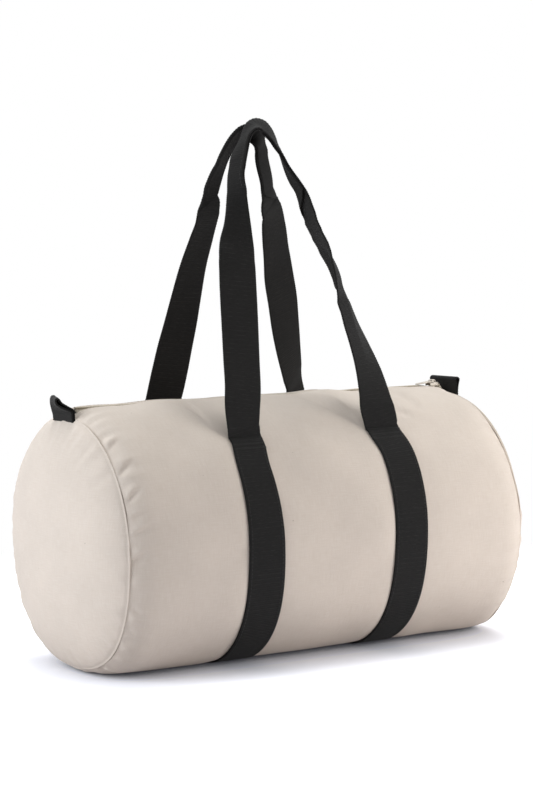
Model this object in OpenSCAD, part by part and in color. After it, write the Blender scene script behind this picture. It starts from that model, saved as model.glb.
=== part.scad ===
// Barrel bag in plain cotton canvas, with two webbing carry handles that run
// round the body as straps, a coil zip along the top and a webbing tab at each end.
// The length runs along X, the front is at -Y and Z is up. The origin lies under
// the middle of the bag, on the surface that it stands on.

/* [Barrel] */
// Length of the barrel from end seam to end seam
barrel_len = 442; // [360:1:560]
// Outer radius of the filled barrel
barrel_r = 126.5; // [110:0.5:150]
// How much smaller the barrel's radius is at the seam with each end panel
seam_drop = 8.5; // [2:0.5:16]
// Length over which the barrel narrows to the seam
shoulder_len = 14; // [6:1:24]
// How much of the barrel's underside is pressed flat
belly_flat = 5.6; // [2:0.1:12]
// How far each end panel bulges out
end_crown = 24; // [8:1:40]
// Thickness of the canvas
canvas_t = 1.2; // [0.8:0.1:2]

/* [Seams] */
// Width of the binding on the inside of each end seam
binding_w = 10; // [6:1:14]
// Thickness of the bound seam
binding_t = 3; // [2:0.5:4]

/* [Mouth and zip] */
// Length of zip that stays closed at each end, between the mouth and the end seam
mouth_end = 31; // [29:1:60]
// Distance from the zip to each line that the mouth folds back on
mouth_fold_y = 50; // [40:1:60]
// Width of the slot between the two folded canvas edges
slot_w = 14; // [12:0.5:18]
// Width of the whole zip tape
tape_w = 32; // [28:1:36]
// Thickness of the zip tape
tape_t = 0.7; // [0.4:0.1:1]
// Width of the closed coil
coil_w = 6.4; // [5:0.1:7]
// Height of the coil above its tape
coil_h = 2.3; // [1.8:0.1:2.8]
// Running gap between the two halves of the zip
coil_gap = 0.4; // [0.2:0.1:0.8]

/* [Slider and pull] */
// Length of the slider
slider_len = 11; // [8:0.5:12]
// Thickness of the slider's plate and sides
slider_wall = 1.2; // [0.8:0.1:1.6]
// Length of the pull, from its pivot to its tip
pull_len = 20; // [14:1:22]
// Width of the pull
pull_w = 7; // [6:0.5:8]
// Thickness of the pull
pull_t = 1.2; // [0.8:0.1:1.4]
// Radius of the bar that the pull turns on
pull_bar_r = 0.7; // [0.5:0.05:0.8]

/* [Straps] */
// Width of the webbing
strap_w = 40; // [30:1:50]
// Thickness of the webbing
strap_t = 2; // [1.5:0.1:2.5]
// Distance of each strap's middle from the middle of the bag
strap_x = 82.5; // [60:0.5:110]
// Angle from the top of the barrel to the line where a handle is sewn down
tack_angle = 43; // [38:0.5:55]

/* [Handles] */
// Height of a handle above its sewn ends, along its own slope
handle_h = 304; // [240:1:340]
// How far the top of each handle hangs to the left
handle_shift = 13; // [0:1:20]
// Width of the grip, where the webbing is folded lengthwise and sewn
grip_w = 20; // [16:1:24]
// Gap between the two handles where they meet at the top
handle_gap = 1.2; // [0.6:0.1:4]

/* [End tabs] */
// Height of a tab above its seam
tab_h = 27; // [24:0.5:36]
// Thickness of a tab's webbing
tab_t = 1.8; // [1.4:0.1:2.2]
// Inside width of the loop that a tab makes
tab_loop_d = 8; // [7.5:0.5:10]
// Angle that a tab leans out from upright
tab_lean = 25; // [5:1:35]

/* [Hidden] */

canvas_colour = "#d9cfc4";
webbing_colour = "#272624";
zip_colour = "#c9bca6";
binding_colour = "#cfc4b6";
thread_colour = "#32302d";

// Gap between pieces that are sewn to each other
sew_gap = 0.1;
// Gap between pieces that move past each other
run_gap = 0.4;
// How far a cut runs past what it cuts
cut_over = 1;
// How far the seam binding stands in from the end of the barrel
binding_inset = 1;
// Distance between the end of the zip and the bound seam
zip_end_gap = 1.5;
// Height of the slider's crown above its plate
crown_h = 3.6;
// Width of the crown, across the bag
crown_w = 2.4;
// Thickness of the crown
crown_t = 1;
// Distance from the end of the mouth to the slider
slider_margin = 3;
// Distance from a sewn line to the end of the strap beyond it
strap_end_len = 2;
// Height of a handle's hinge line over its strap
hinge_rise = 1;
// Distance from a handle's hinge line to its lower edge
handle_start = 0.4;
// Rings of points along a handle
handle_rings = 46;
// Power of the curve that a handle hangs in
handle_curve = 1.82;
// Where the webbing starts and stops narrowing to the grip
grip_start_share = 0.66;
grip_end_share = 0.76;
// Distance from the end seam to the line that a tab turns on
tab_standoff = 2.3;
// Height where a tab's two layers part
tab_neck = 5;
// Size of one stitch of a bar tack, and the distance between stitches
stitch_len = 3;
stitch_w = 0.8;
stitch_h = 0.5;
stitch_pitch = 2;
// Distance from a handle's sewn line to each row of its bar tack
tack_rows = [5, 10];
// Distance from the edge of the webbing to the first stitch
tack_margin = 2.5;
// Height of a stitch over the webbing
stitch_lift = 0.02;
barrel_fn = 160;
shoulder_steps = 6;
crown_steps = 14;

half_len = barrel_len / 2;
half_mouth = half_len - mouth_end;
seam_r = barrel_r - seam_drop;
shoulder_x = half_len - shoulder_len;
floor_z = strap_t + sew_gap;
axis_z = floor_z + barrel_r - belly_flat;
seam_top_z = axis_z + seam_r;
strap_out_r = barrel_r + sew_gap + strap_t;
tape_out_r = barrel_r - canvas_t - sew_gap;
coil_out_r = tape_out_r + coil_h;
zip_end_x = half_len - binding_inset - binding_t - zip_end_gap;
hinge_r = strap_out_r + hinge_rise;
hinge_y = hinge_r * sin(tack_angle);
hinge_z = axis_z + hinge_r * cos(tack_angle);
handle_lean = asin((hinge_y - (grip_w + handle_gap) / 2) / handle_h);
slider_x = half_mouth + slider_margin + slider_len / 2;
slider_in_y = coil_w / 2 + run_gap;
slider_out_y = slider_in_y + slider_wall;
slider_top_z = axis_z + coil_out_r + run_gap + slider_wall;
crown_len = 2 * (pull_bar_r + run_gap + crown_t) + crown_h;
pull_rise = (crown_h - crown_t) / 2;
pull_z = slider_top_z + pull_rise;

// Radius of the barrel at a place along its length
function barrel_radius(x) =
    let (s = max(0, abs(x) - shoulder_x) / shoulder_len)
    seam_r + (barrel_r - seam_r) * cos(90 * min(1, s));

// Places along the barrel where its outline has a point
function shoulder_places() = [for (i = [0 : shoulder_steps]) shoulder_x + shoulder_len * i / shoulder_steps];

// The outline of half the barrel, as radius and place along the length
function barrel_outline(inset) = concat(
    [for (i = [shoulder_steps : -1 : 0]) let (x = -shoulder_places()[i]) [barrel_radius(x) - inset, x]],
    [for (x = shoulder_places()) [barrel_radius(x) - inset, x]]
);

// The space inside the barrel's surface, drawn in by an inset and run on past the seams
module barrel_body(inset, beyond) {
    end_r = seam_r - inset;
    rotate([0, 90, 0])
        rotate_extrude($fn = barrel_fn)
            polygon(concat(
                [[0, -half_len - beyond], [end_r, -half_len - beyond]],
                barrel_outline(inset),
                [[end_r, half_len + beyond], [0, half_len + beyond]]
            ));
}

// A block over part of the plan view, from a height up
module plan_block(x0, x1, y0, y1, z0) {
    translate([x0, y0, z0])
        cube([x1 - x0, y1 - y0, axis_z + 2 * barrel_r]);
}

// The canvas wall of the barrel, flat underneath and open at both ends
module barrel_wall() {
    difference() {
        translate([0, 0, axis_z])
            intersection() {
                barrel_body(0, 0);
                translate([-half_len, -barrel_r, floor_z - axis_z])
                    cube([barrel_len, 2 * barrel_r, 3 * barrel_r]);
            }
        translate([0, 0, axis_z])
            intersection() {
                barrel_body(canvas_t, cut_over);
                translate([-barrel_len, -barrel_r, floor_z + canvas_t - axis_z])
                    cube([2 * barrel_len, 2 * barrel_r, 3 * barrel_r]);
            }
    }
}

// A layer of the barrel's curve between two insets from its surface
module barrel_layer(inset_out, inset_in) {
    translate([0, 0, axis_z])
        difference() {
            barrel_body(inset_out, 0);
            barrel_body(inset_in, cut_over);
        }
}

module main_panel() {
    color(canvas_colour)
        difference() {
            barrel_wall();
            plan_block(-half_mouth, half_mouth, -mouth_fold_y, mouth_fold_y, axis_z);
            plan_block(-zip_end_x, zip_end_x, -slot_w / 2, slot_w / 2, axis_z);
        }
}

// The upper edge of the canvas beside the zip, which folds back when the mouth opens
module mouth_panel_front() {
    color(canvas_colour)
        intersection() {
            barrel_layer(0, canvas_t);
            plan_block(run_gap - half_mouth, half_mouth - run_gap, run_gap - mouth_fold_y, -slot_w / 2, axis_z);
        }
}

module zip_tape_front() {
    color(zip_colour)
        intersection() {
            barrel_layer(canvas_t + sew_gap, canvas_t + sew_gap + tape_t);
            plan_block(run_gap - half_mouth, half_mouth - run_gap, -tape_w / 2, -coil_gap / 2, axis_z);
        }
}

// A straight run of the zip's coil, from a radius out
module coil_run(x0, x1, y0, y1, inner_r) {
    translate([0, 0, axis_z])
        intersection() {
            difference() {
                rotate([0, 90, 0])
                    cylinder(h = 2 * barrel_len, r = coil_out_r, center = true, $fn = barrel_fn);
                rotate([0, 90, 0])
                    cylinder(h = 3 * barrel_len, r = inner_r, center = true, $fn = barrel_fn);
            }
            plan_block(x0, x1, y0, y1, 0);
        }
}

module zip_teeth_front() {
    color(zip_colour)
        coil_run(run_gap - half_mouth, half_mouth - run_gap, -coil_w / 2, -coil_gap / 2, tape_out_r);
}

// The sewn-in end of the zip: its tape, and the last of the coil up to the shoulder
module zip_end_left() {
    color(zip_colour) {
        intersection() {
            barrel_layer(canvas_t + sew_gap, canvas_t + sew_gap + tape_t);
            plan_block(-zip_end_x, -half_mouth - run_gap, -tape_w / 2, tape_w / 2, axis_z);
        }
        coil_run(-shoulder_x, -half_mouth - run_gap, -coil_w / 2, coil_w / 2, tape_out_r - tape_t / 2);
    }
}

// Slider body: a plate over the coil with a side down each edge, and the crown that holds the pull
module zip_slider() {
    color(zip_colour)
        translate([slider_x, 0, 0]) {
            difference() {
                translate([-slider_len / 2, -slider_out_y, axis_z + tape_out_r + run_gap])
                    cube([slider_len, 2 * slider_out_y, coil_h + slider_wall]);
                translate([-slider_len, -slider_in_y, axis_z])
                    cube([2 * slider_len, 2 * slider_in_y, coil_out_r + run_gap]);
            }
            difference() {
                translate([-crown_len / 2, -crown_w / 2, slider_top_z - slider_wall / 2])
                    cube([crown_len, crown_w, crown_h + slider_wall / 2]);
                translate([crown_t - crown_len / 2, -crown_w, slider_top_z])
                    cube([crown_len - 2 * crown_t, 2 * crown_w, crown_h - crown_t]);
            }
        }
}

// Pull: a bar under the crown, two arms past it and a flat tongue
module zip_pull() {
    arm_y = crown_w / 2 + run_gap;
    tongue_x = norm([crown_len / 2, crown_h - pull_rise]) + run_gap;
    color(zip_colour)
        translate([slider_x, 0, pull_z]) {
            rotate([90, 0, 0])
                cylinder(h = pull_w, r = pull_bar_r, center = true, $fn = 32);
            difference() {
                union() {
                    translate([pull_w / 2 - pull_len, -pull_w / 2, -pull_t / 2])
                        cube([pull_len - pull_w / 2, pull_w, pull_t]);
                    translate([pull_w / 2 - pull_len, 0, -pull_t / 2])
                        cylinder(h = pull_t, r = pull_w / 2, $fn = 48);
                }
                translate([-tongue_x, -arm_y, -pull_t])
                    cube([2 * tongue_x, 2 * arm_y, 2 * pull_t]);
            }
        }
}

// Spherical bulge of an end panel, drawn as an outline turned about the bag's length
module end_dome() {
    sphere_r = (seam_r * seam_r + end_crown * end_crown) / (2 * end_crown);
    centre = end_crown - sphere_r;
    inner_r = sphere_r - canvas_t;
    out_angle = asin(seam_r / sphere_r);
    in_angle = acos(-centre / inner_r);
    rotate_extrude($fn = barrel_fn)
        polygon(concat(
            [for (i = [0 : crown_steps]) let (a = out_angle * i / crown_steps)
                [sphere_r * sin(a), centre + sphere_r * cos(a)]],
            [for (i = [crown_steps : -1 : 0]) let (a = in_angle * i / crown_steps)
                [inner_r * sin(a), centre + inner_r * cos(a)]]
        ));
}

module end_panel_left() {
    color(canvas_colour)
        translate([-half_len, 0, axis_z])
            rotate([0, -90, 0])
                end_dome();
}

// Bound seam allowance on the inside, standing in from the seam towards the middle of the end
module seam_binding_left() {
    place = half_len - binding_inset;
    out_r = barrel_radius(place) - canvas_t - sew_gap;
    color(binding_colour)
        translate([-place, 0, axis_z])
            rotate([0, 90, 0])
                difference() {
                    cylinder(h = binding_t, r = out_r, $fn = barrel_fn);
                    translate([0, 0, -cut_over])
                        cylinder(h = binding_t + 2 * cut_over, r = out_r - binding_w, $fn = barrel_fn);
                }
}

// Webbing sewn round under the barrel, from one sewn line to the other
module base_strap_left() {
    end_angle = tack_angle - strap_end_len / strap_out_r * 180 / PI;
    reach = 2 * strap_out_r;
    color(webbing_colour)
        translate([-strap_x, 0, 0])
            difference() {
                intersection() {
                    translate([0, 0, axis_z])
                        rotate([0, 90, 0])
                            cylinder(h = strap_w, r = strap_out_r, center = true, $fn = barrel_fn);
                    translate([-strap_w, -reach, 0])
                        cube([2 * strap_w, 2 * reach, 2 * reach]);
                }
                intersection() {
                    translate([0, 0, axis_z])
                        rotate([0, 90, 0])
                            cylinder(h = 2 * strap_w, r = barrel_r + sew_gap, center = true, $fn = barrel_fn);
                    translate([-2 * strap_w, -reach, strap_t])
                        cube([4 * strap_w, 2 * reach, 2 * reach]);
                }
                translate([0, 0, axis_z])
                    rotate([90, 0, 90])
                        linear_extrude(2 * strap_w, center = true)
                            polygon([
                                [0, 0],
                                [reach * sin(end_angle), reach * cos(end_angle)],
                                [0, reach],
                                [-reach * sin(end_angle), reach * cos(end_angle)]
                            ]);
            }
}

// Rows of short stitches that hold the two ends of a handle down
module bar_tacks_front() {
    row_len = strap_w - 2 * tack_margin;
    color(thread_colour)
        for (side = [-1, 1], row = tack_rows, i = [0 : floor(row_len / stitch_pitch)])
            translate([side * strap_x - row_len / 2 + i * stitch_pitch, 0, axis_z])
                rotate([tack_angle + row / strap_out_r * 180 / PI, 0, 0])
                    translate([-stitch_w / 2, -stitch_len / 2, strap_out_r + stitch_lift])
                        cube([stitch_w, stitch_len, stitch_h]);
}

// A handle hangs in its own plane: u runs from -90 at the left end to 90 at the right end
function handle_height(u) = handle_h * (1 - pow(abs(sin(u)), handle_curve));
function handle_centre(u) =
    let (h = handle_height(u))
    [strap_x * sin(u) - handle_shift * h / handle_h, 0, h + handle_start];
// The webbing turns from flat on the bag to flat on the hand at the top, and on the same way down
function handle_turn(u) = let (turned = 90 * pow(cos(u), 2)) u < 0 ? -turned : turned - 180;
function handle_fold(u) =
    let (s = (handle_height(u) / handle_h - grip_start_share) / (grip_end_share - grip_start_share))
    min(1, max(0, s));
function handle_width(u) = strap_w + (grip_w - strap_w) * handle_fold(u);
function handle_thick(u) = strap_t * (1 + handle_fold(u));
function unit(v) = v / norm(v);
function handle_ring(i) =
    let (
        u = -90 + 180 * i / handle_rings,
        du = 90 / handle_rings,
        c = handle_centre(u),
        slope = unit(handle_centre(min(90, u + du)) - handle_centre(max(-90, u - du))),
        // Both ends are cut square and sewn level, so the band turns into its curve over its own width
        eased = min(1, handle_height(u) / strap_w),
        level = [0, 0, u < 0 ? 1 : -1],
        along = unit(level * (1 - eased) + slope * eased),
        flat = [cos(handle_turn(u)), sin(handle_turn(u)), 0],
        across = unit(flat - along * (flat * along)),
        out = cross(along, across),
        a = across * handle_width(u) / 2,
        b = out * handle_thick(u) / 2
    )
    [c - a - b, c + a - b, c + a + b, c - a + b];

// One handle as a band swept along its curve, with its sewn ends on the hinge line
module handle_band() {
    rings = [for (i = [0 : handle_rings]) each handle_ring(i)];
    sides = [for (i = [0 : handle_rings - 1], k = [0 : 3]) let (m = (k + 1) % 4, j = 4 * i)
        each [[j + k, j + m + 4, j + m], [j + k, j + k + 4, j + m + 4]]];
    last = 4 * handle_rings;
    ends = [[0, 1, 2], [0, 2, 3], [last, last + 2, last + 1], [last, last + 3, last + 2]];
    polyhedron(points = rings, faces = concat(sides, ends), convexity = 6);
}

module handle_front() {
    color(webbing_colour)
        translate([0, -hinge_y, hinge_z])
            rotate([-handle_lean, 0, 0])
                handle_band();
}

// Webbing folded into a loop, with both ends in the end seam
module tab_left() {
    loop_r = tab_loop_d / 2;
    loop_out_r = loop_r + tab_t;
    loop_z = tab_h - loop_out_r;
    // The tab stands off the seam, halfway between the two panels that meet there
    panel_slope = atan(2 * end_crown / seam_r);
    shoulder_slope = atan((barrel_r - seam_r) / shoulder_len * PI / 2);
    rise = (90 - shoulder_slope + panel_slope) / 2;
    color(webbing_colour)
        translate([-half_len - tab_standoff * cos(rise), 0, seam_top_z + tab_standoff * sin(rise)])
            rotate([0, -tab_lean, 0])
                rotate([90, 0, 0])
                    linear_extrude(strap_w, center = true)
                        difference() {
                            union() {
                                polygon([[-tab_t, 0], [tab_t, 0], [loop_out_r, loop_z], [-loop_out_r, loop_z]]);
                                translate([0, loop_z])
                                    circle(r = loop_out_r, $fn = 64);
                                circle(r = tab_t, $fn = 64);
                            }
                            polygon([[0, tab_neck], [loop_r, loop_z], [-loop_r, loop_z]]);
                            translate([0, loop_z])
                                circle(r = loop_r, $fn = 64);
                        }
}

module end_panel_right() {
    mirror([1, 0, 0]) end_panel_left();
}

module seam_binding_right() {
    mirror([1, 0, 0]) seam_binding_left();
}

module mouth_panel_back() {
    mirror([0, 1, 0]) mouth_panel_front();
}

module zip_tape_back() {
    mirror([0, 1, 0]) zip_tape_front();
}

module zip_teeth_back() {
    mirror([0, 1, 0]) zip_teeth_front();
}

module zip_end_right() {
    mirror([1, 0, 0]) zip_end_left();
}

module base_strap_right() {
    mirror([1, 0, 0]) base_strap_left();
}

module bar_tacks_back() {
    mirror([0, 1, 0]) bar_tacks_front();
}

module handle_back() {
    mirror([0, 1, 0]) handle_front();
}

module tab_right() {
    mirror([1, 0, 0]) tab_left();
}

main_panel();
end_panel_left();
end_panel_right();
seam_binding_left();
seam_binding_right();
mouth_panel_front();
mouth_panel_back();
zip_tape_front();
zip_tape_back();
zip_teeth_front();
zip_teeth_back();
zip_end_left();
zip_end_right();
zip_slider();
zip_pull();
base_strap_left();
base_strap_right();
bar_tacks_front();
bar_tacks_back();
handle_front();
handle_back();
tab_left();
tab_right();
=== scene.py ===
import math

import bpy
import numpy as np
from mathutils import Matrix, Vector


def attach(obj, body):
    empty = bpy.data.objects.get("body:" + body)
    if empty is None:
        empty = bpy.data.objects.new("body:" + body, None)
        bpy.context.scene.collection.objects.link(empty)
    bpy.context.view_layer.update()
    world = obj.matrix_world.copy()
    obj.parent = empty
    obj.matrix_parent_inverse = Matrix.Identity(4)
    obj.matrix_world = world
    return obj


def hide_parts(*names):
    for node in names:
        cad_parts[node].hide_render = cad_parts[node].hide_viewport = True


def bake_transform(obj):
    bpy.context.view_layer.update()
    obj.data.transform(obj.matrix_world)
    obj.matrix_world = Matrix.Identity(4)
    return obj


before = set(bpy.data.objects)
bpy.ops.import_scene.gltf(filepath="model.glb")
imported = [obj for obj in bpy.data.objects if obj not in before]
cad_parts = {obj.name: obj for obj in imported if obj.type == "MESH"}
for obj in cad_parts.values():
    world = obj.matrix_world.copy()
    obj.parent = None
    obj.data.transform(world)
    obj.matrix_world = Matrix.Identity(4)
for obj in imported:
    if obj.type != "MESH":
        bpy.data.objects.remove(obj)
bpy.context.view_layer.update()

# Camera: the photographer stands to the left of the bag's front, a little above it,
# with a long lens. The yaw, pitch and roll come from the bag's own outline.
camera_yaw, camera_pitch, camera_roll = (math.radians(v) for v in (31.83, 4.6, -0.94))
ahead = Vector((
    math.sin(camera_yaw) * math.cos(camera_pitch),
    math.cos(camera_yaw) * math.cos(camera_pitch),
    -math.sin(camera_pitch),
))
level = Vector((math.cos(camera_yaw), -math.sin(camera_yaw), 0))
upright = level.cross(ahead)
camera_side = level * math.cos(camera_roll) + upright * math.sin(camera_roll)
camera_up = upright * math.cos(camera_roll) - level * math.sin(camera_roll)
camera_data = bpy.data.cameras.new("camera")
camera_data.lens = 103.45
camera_data.sensor_width = 36
camera = bpy.data.objects.new("camera", camera_data)
camera.matrix_world = (
    Matrix.Translation((-1.1929, -1.9179, 0.4266))
    @ Matrix((camera_side, camera_up, -ahead)).transposed().to_4x4()
)
bpy.context.scene.collection.objects.link(camera)
bpy.context.scene.camera = camera
bpy.context.scene.view_settings.view_transform = "Standard"


# Studio: a white sweep of paper under and behind the bag, a large soft lamp at the left
# that lights the round end, two nearer ones at the front right, one above, and an even fill.
def linear(hex_colour):
    """An sRGB hex colour as the linear colour that a shader takes."""
    parts = [int(hex_colour[i:i + 2], 16) / 255 for i in (1, 3, 5)]
    return [p / 12.92 if p <= 0.04045 else ((p + 0.055) / 1.055) ** 2.4 for p in parts] + [1]


def add_node(tree, kind, settings=None, **inputs):
    """A node with its settings, each input given as a value or as a socket to link.
    An input is named with _ for a space, or by its number, as in n0."""
    node = tree.nodes.new(kind)
    for name, value in (settings or {}).items():
        setattr(node, name, value)
    for name, value in inputs.items():
        numbered = name[0] == "n" and name[1:].isdigit()
        socket = node.inputs[int(name[1:]) if numbered else name.replace("_", " ")]
        if isinstance(value, bpy.types.NodeSocket):
            tree.links.new(value, socket)
        else:
            socket.default_value = value
    return node


def seen_directly(tree):
    """1 for rays from the camera, or mirrored or passed on by gloss or glass, and else 0."""
    rays = add_node(tree, "ShaderNodeLightPath")
    gloss = add_node(tree, "ShaderNodeMath", {"operation": "MAXIMUM"},
                     n0=rays.outputs["Is Glossy Ray"], n1=rays.outputs["Is Transmission Ray"])
    return add_node(tree, "ShaderNodeMath", {"operation": "MAXIMUM"},
                    n0=rays.outputs["Is Camera Ray"], n1=gloss.outputs[0]).outputs[0]


def lamp(name, place, target, size, watts, colour):
    """A soft rectangular lamp that faces its target."""
    data = bpy.data.lights.new(name, "AREA")
    data.shape = "RECTANGLE"
    data.size, data.size_y = size
    data.energy = watts
    data.color = linear(colour)[:3]
    light = bpy.data.objects.new(name, data)
    light.location = place
    light.rotation_euler = (Vector(target) - Vector(place)).to_track_quat("-Z", "Y").to_euler()
    bpy.context.scene.collection.objects.link(light)


lamp("lamp_left", (-2.2, 0.35, 0.9), (-0.22, 0, 0.13), (1.5, 1.5), 39, "#f4faff")
lamp("lamp_front_right", (0.66, -0.7, 0.3), (0.15, 0, 0.12), (0.6, 0.6), 3.4, "#fffefc")
lamp("lamp_low_right", (0.6, -0.62, 0.06), (0.2, 0, 0.05), (0.4, 0.3), 1.3, "#fffdfa")
lamp("lamp_top", (0.6, 0.5, 2.2), (0.05, 0, 0.2), (1.5, 1.5), 33, "#fcffff")

world = bpy.data.worlds.new("studio")
bpy.context.scene.world = world
world.use_nodes = True
tree = world.node_tree
tree.nodes.clear()
fill = add_node(tree, "ShaderNodeBackground", Color=linear("#f4f3f3"), Strength=0.28)
white = add_node(tree, "ShaderNodeBackground", Color=(1, 1, 1, 1), Strength=1.0)
mix = add_node(tree, "ShaderNodeMixShader", Fac=seen_directly(tree),
               n1=fill.outputs[0], n2=white.outputs[0])
add_node(tree, "ShaderNodeOutputWorld", Surface=mix.outputs[0])

floor_mesh = bpy.data.meshes.new("floor")
floor_mesh.from_pydata([(-9, -9, 0), (9, -9, 0), (9, 9, 0), (-9, 9, 0)], [], [(0, 1, 2, 3)])
floor = bpy.data.objects.new("floor", floor_mesh)
bpy.context.scene.collection.objects.link(floor)
paper = bpy.data.materials.new("white_paper_sweep")
paper.use_nodes = True
tree = paper.node_tree
tree.nodes.clear()
plain_paper = add_node(tree, "ShaderNodeBsdfDiffuse", Color=linear("#e6e5e9"), Roughness=0.5)
# What the camera sees of the paper is twice as light, so that only the bag's shadow shows on it,
# and away from the bag it is plain white like the backdrop. Close under the bag a painted shadow
# darkens it: a dim bluish glow mixed in where ambient occlusion finds the paper covered.
seen_paper = add_node(tree, "ShaderNodeBsdfDiffuse", Color=linear("#e3e4ea"), Roughness=0.5)
twice = add_node(tree, "ShaderNodeAddShader", n0=seen_paper.outputs[0], n1=seen_paper.outputs[0])
glow = add_node(tree, "ShaderNodeEmission", Color=linear("#f2f6ff"), Strength=0.22)
lit = add_node(tree, "ShaderNodeAddShader", n0=twice.outputs[0], n1=glow.outputs[0])
painted_contact_shadow = add_node(tree, "ShaderNodeEmission", Color=linear("#b8b2c4"), Strength=0.04)
covered = add_node(tree, "ShaderNodeAmbientOcclusion", Distance=0.06)
openness = add_node(tree, "ShaderNodeMath", {"operation": "POWER"}, n0=covered.outputs["AO"], n1=0.45)
under_bag = add_node(tree, "ShaderNodeMixShader", Fac=openness.outputs[0],
                     n1=painted_contact_shadow.outputs[0], n2=lit.outputs[0])
far_white = add_node(tree, "ShaderNodeEmission", Color=linear("#ffffff"), Strength=1.0)
place = add_node(tree, "ShaderNodeNewGeometry")
from_bag = add_node(tree, "ShaderNodeVectorMath", {"operation": "LENGTH"}, n0=place.outputs["Position"])
away = add_node(tree, "ShaderNodeMapRange", {"interpolation_type": "SMOOTHSTEP"},
                n0=from_bag.outputs["Value"], n1=0.38, n2=0.75)
paper_seen = add_node(tree, "ShaderNodeMixShader", Fac=away.outputs[0],
                      n1=under_bag.outputs[0], n2=far_white.outputs[0])
mix = add_node(tree, "ShaderNodeMixShader", Fac=seen_directly(tree),
               n1=plain_paper.outputs[0], n2=paper_seen.outputs[0])
add_node(tree, "ShaderNodeOutputMaterial", Surface=mix.outputs[0])
floor_mesh.materials.append(paper)


# Canvas barrel: one cloth of undyed plain-weave cotton, rolled into a tube and sewn to the
# two round ends. It is full and firm, rests flat on the ground, swells a little between the
# straps and is gathered into small puckers where the end seams are sewn.
MM = 0.001
left_and_right = (("left", -1), ("right", 1))
front_and_back = (("front", -1), ("back", 1))
barrel_z = 123.0
half_height = 126.5
half_width = 124.6
seam_x = 221.0
seam_share = 118 / 126.5
strap_x = 82.5
strap_w = 40.0
canvas_t = 1.1
mouth_x = 190.0
slot_x = 215.5
fold_y = 50.0
slot_y = 7.0


def wave_sum(counts, seed):
    """Amplitudes and phases of a smooth random wave round the barrel, one for each count."""
    rng = np.random.default_rng(seed)
    return [(n, rng.uniform(0.5, 1) / math.sqrt(len(counts)), rng.uniform(0, 2 * math.pi)) for n in counts]


pucker_waves = {side: wave_sum(range(19, 58, 3), 11 + side) for side in (-1, 1)}
swell_rng = np.random.default_rng(5)
swell_waves = [
    (swell_rng.uniform(-0.075, 0.075), int(swell_rng.integers(2, 12)), swell_rng.uniform(0, 2 * math.pi))
    for _ in range(12)
]


def puckers(side, angle):
    """The gathering of the cloth at one end seam, from about -1 to 1."""
    return 1.5 * sum(a * np.cos(n * angle + p) for n, a, p in pucker_waves[side])


# Single folds in the cloth: puckers at the end seam, and the pull of the handles' sewn ends. Each row
# has where a fold starts and ends, as x and degrees from the top, then its width and its depth.
front_creases = [
    (-221, -54.5, -201, -47, 2.8, 1.2),
    (-221, -67, -204, -61, 3.0, 2.3),
    (-221, -74, -200, -71.5, 2.6, 1.3),
    (-221, -81.5, -199, -77.5, 2.8, 1.8),
    (-221, -92.5, -205, -88, 3.0, 2.0),
    (-221, -112.5, -206, -116, 3.0, 1.7),
    (-221, -122, -209, -126, 3.0, 1.1),
    (-221, -39, -200, -34, 3.6, 1.3),
    (-112, -4, -97, -36, 6.0, 2.8),
    (16, -4, 60, -38, 7.5, 3.8),
    (128, -13, 136, -33, 6.0, 1.5),
    (108, -31, 122, -37, 4.5, 1.6),
    (-10, -36, 14, -39, 6.0, 0.4),
    (-112, -70.3, -103, -71.8, 3.0, 0.5),
    (-114, -92.8, -103, -92.4, 3.0, 0.5),
    (-48.5, -97, -17, -98.2, 3.0, 0.35),
]
# The same folds are on the other side of the bag, turned half round
creases = front_creases + [(-x0, -a0, -x1, -a1, w, d) for x0, a0, x1, a1, w, d in front_creases]


def ease(v):
    """0 below 0, 1 above 1, and smooth between."""
    v = np.clip(v, 0, 1)
    return v * v * (3 - 2 * v)


def creased(x, angle):
    """How far the single folds lift the cloth: each is a groove with a softer ridge below it."""
    lift = np.zeros(np.broadcast(x, angle).shape)
    for x0, a0, x1, a1, width, depth in creases:
        along_x, along_y = x1 - x0, math.radians(a1 - a0) * half_width
        length = math.hypot(along_x, along_y)
        from_x, from_y = x - x0, (angle - math.radians(a0)) * half_width
        share = (from_x * along_x + from_y * along_y) / length ** 2
        offset = (from_x * along_y - from_y * along_x) / length * np.sign(a0)
        taper = np.cos(np.clip((share - 0.4) / 0.75, -1, 1) * math.pi / 2) ** 2
        lift += taper * depth * (
            0.55 * np.exp(-((offset - 1.7 * width) / (1.2 * width)) ** 2) - np.exp(-(offset / width) ** 2))
    return lift * ease((np.abs(np.abs(x) - strap_x + 3) - 20) / 6)


def near_strap(x, reach):
    """1 under the middle of a strap and 0 away from it."""
    return np.exp(-(np.abs(np.abs(x) - strap_x) / reach) ** 4)


def sag(angle):
    """How much the lower half swells, because the bag settles on what it holds."""
    return 1 + 0.055 * np.where(np.cos(angle) < 0, np.sin(2 * angle) ** 2, 0)


def top_waves(x, angle):
    """Lift of the cloth beside the zip: a place along the bag, a height and a half length for each."""
    y = np.abs(angle) * half_width
    beside = ease((y - 5) / 6) * np.exp(-(np.clip(y - 12, 0, None) / 16) ** 2)
    waves = ((-122, 2.4, 30), (-45, 0.8, 60), (59, 2.4, 17), (101, -1.9, 15), (172, -1.2, 20),
             (-185, 0.8, 15))
    lift = sum(height * np.exp(-((x - middle) / reach) ** 2) for middle, height, reach in waves)
    # The front edge stands a little higher than the zip, except at the left end
    lip = 1.4 * (angle < 0) * ease((x + 172) / 30) * ease((215 - x) / 12)
    return beside * (lift + lip)


def slant(side, angle):
    """How far the right end leans: its top is drawn in, and its foot is pushed out by what it holds."""
    height = np.cos(angle)
    drawn_in = 4.5 * ease(height / 0.55) + 2.2 * ease((height - 0.6) / 0.3)
    return np.where(side > 0, 3 * ease((-height - 0.5) / 0.5) - drawn_in, 0)


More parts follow.
